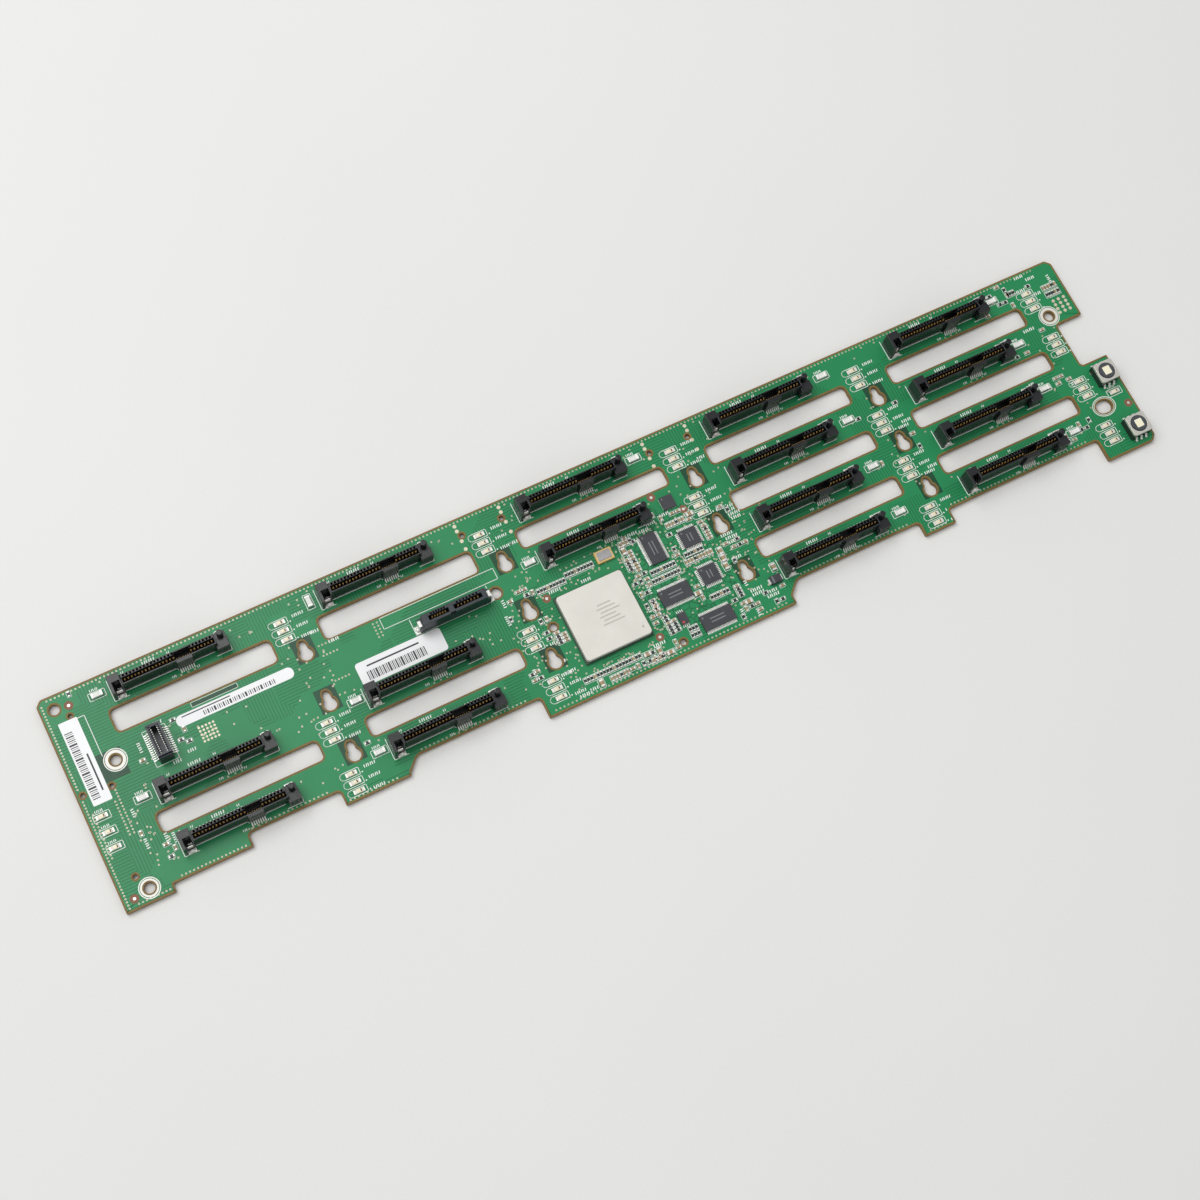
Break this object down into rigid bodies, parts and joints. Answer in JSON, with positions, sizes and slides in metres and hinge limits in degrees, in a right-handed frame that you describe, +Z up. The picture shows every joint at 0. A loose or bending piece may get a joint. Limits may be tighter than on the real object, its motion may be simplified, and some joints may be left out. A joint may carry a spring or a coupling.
{
  "type": "drive backplane board",
  "caption": "Long stepped circuit board with rows of upright drive sockets, air slots between them, an expander chip and two lit push switches.",
  "frame": {"origin": "middle of the board's outline, on its underside", "axes": "+X along the board towards the push switches, +Y across it towards the straight top edge, +Z up through the sockets"},
  "size_m": [0.4136, 0.0822, 0.0105],
  "materials": {
    "laminate": "green solder mask over glass-epoxy, satin",
    "socket_plastic": "moulded black glass-filled plastic",
    "contact_gold": "gold flash over copper alloy",
    "tinned_metal": "tinned, with solder",
    "chip_carrier": "green organic carrier",
    "heat_spreader": "nickel plated, satin",
    "ceramic_case": "ceramic with a metal lid",
    "chip_epoxy": "moulded epoxy",
    "lamp_resin": "clear resin over a cream body",
    "fuse_ceramic": "white glazed ceramic",
    "chip_part_ceramic": "tan ceramic with tinned ends",
    "switch_plastic": "moulded black plastic",
    "switch_metal": "bright stamped steel",
    "cap_plastic": "dark grey plastic",
    "lens_resin": "milky clear resin",
    "label_paper": "white paper, blank"
  },
  "bodies": {
    "board": {"circuit_board": "laminate", "drive_socket_01": "socket_plastic", "drive_contacts_01": "contact_gold", "drive_socket_02": "socket_plastic", "drive_contacts_02": "contact_gold", "drive_socket_03": "socket_plastic", "drive_contacts_03": "contact_gold", "drive_socket_04": "socket_plastic", "drive_contacts_04": "contact_gold", "drive_socket_05": "socket_plastic", "drive_contacts_05": "contact_gold", "drive_socket_06": "socket_plastic", "drive_contacts_06": "contact_gold", "drive_socket_07": "socket_plastic", "drive_contacts_07": "contact_gold", "drive_socket_08": "socket_plastic", "drive_contacts_08": "contact_gold", "drive_socket_09": "socket_plastic", "drive_contacts_09": "contact_gold", "drive_socket_10": "socket_plastic", "drive_contacts_10": "contact_gold", "drive_socket_11": "socket_plastic", "drive_contacts_11": "contact_gold", "drive_socket_12": "socket_plastic", "drive_contacts_12": "contact_gold", "drive_socket_13": "socket_plastic", "drive_contacts_13": "contact_gold", "drive_socket_14": "socket_plastic", "drive_contacts_14": "contact_gold", "drive_socket_15": "socket_plastic", "drive_contacts_15": "contact_gold", "drive_socket_16": "socket_plastic", "drive_contacts_16": "contact_gold", "hold_down_tabs": "tinned_metal", "slim_drive_socket": "socket_plastic", "slim_drive_contacts": "contact_gold", "slim_drive_tabs": "tinned_metal", "mezzanine_socket": "socket_plastic", "mezzanine_pins": "contact_gold", "expander_substrate": "chip_carrier", "expander_lid": "heat_spreader", "oscillator": "ceramic_case", "tall_chip": "chip_epoxy", "wide_chip": "chip_epoxy", "low_chip": "chip_epoxy", "quad_chips": "chip_epoxy", "small_chips": "chip_epoxy", "status_lamps": "lamp_resin", "fuses": "fuse_ceramic", "chip_parts": "chip_part_ceramic", "switch_terminals": "contact_gold", "blank_labels": "label_paper", "upper_switch_case": "switch_plastic", "upper_switch_frame": "switch_metal", "lower_switch_case": "switch_plastic", "lower_switch_frame": "switch_metal"},
    "upper_button": {"upper_button_cap": "cap_plastic", "upper_button_lens": "lens_resin"},
    "lower_button": {"lower_button_cap": "cap_plastic", "lower_button_lens": "lens_resin"}
  },
  "joints": [
    {"name": "upper_button_press", "type": "slide", "parent": "board", "child": "upper_button", "axis": [0, 0, -1], "range_m": [0, 0.0003], "stiffness_N_per_m": 600, "springref_m": -0.0002},
    {"name": "lower_button_press", "type": "slide", "parent": "board", "child": "lower_button", "axis": [0, 0, -1], "range_m": [0, 0.0003], "stiffness_N_per_m": 600, "springref_m": -0.0002}
  ]
}
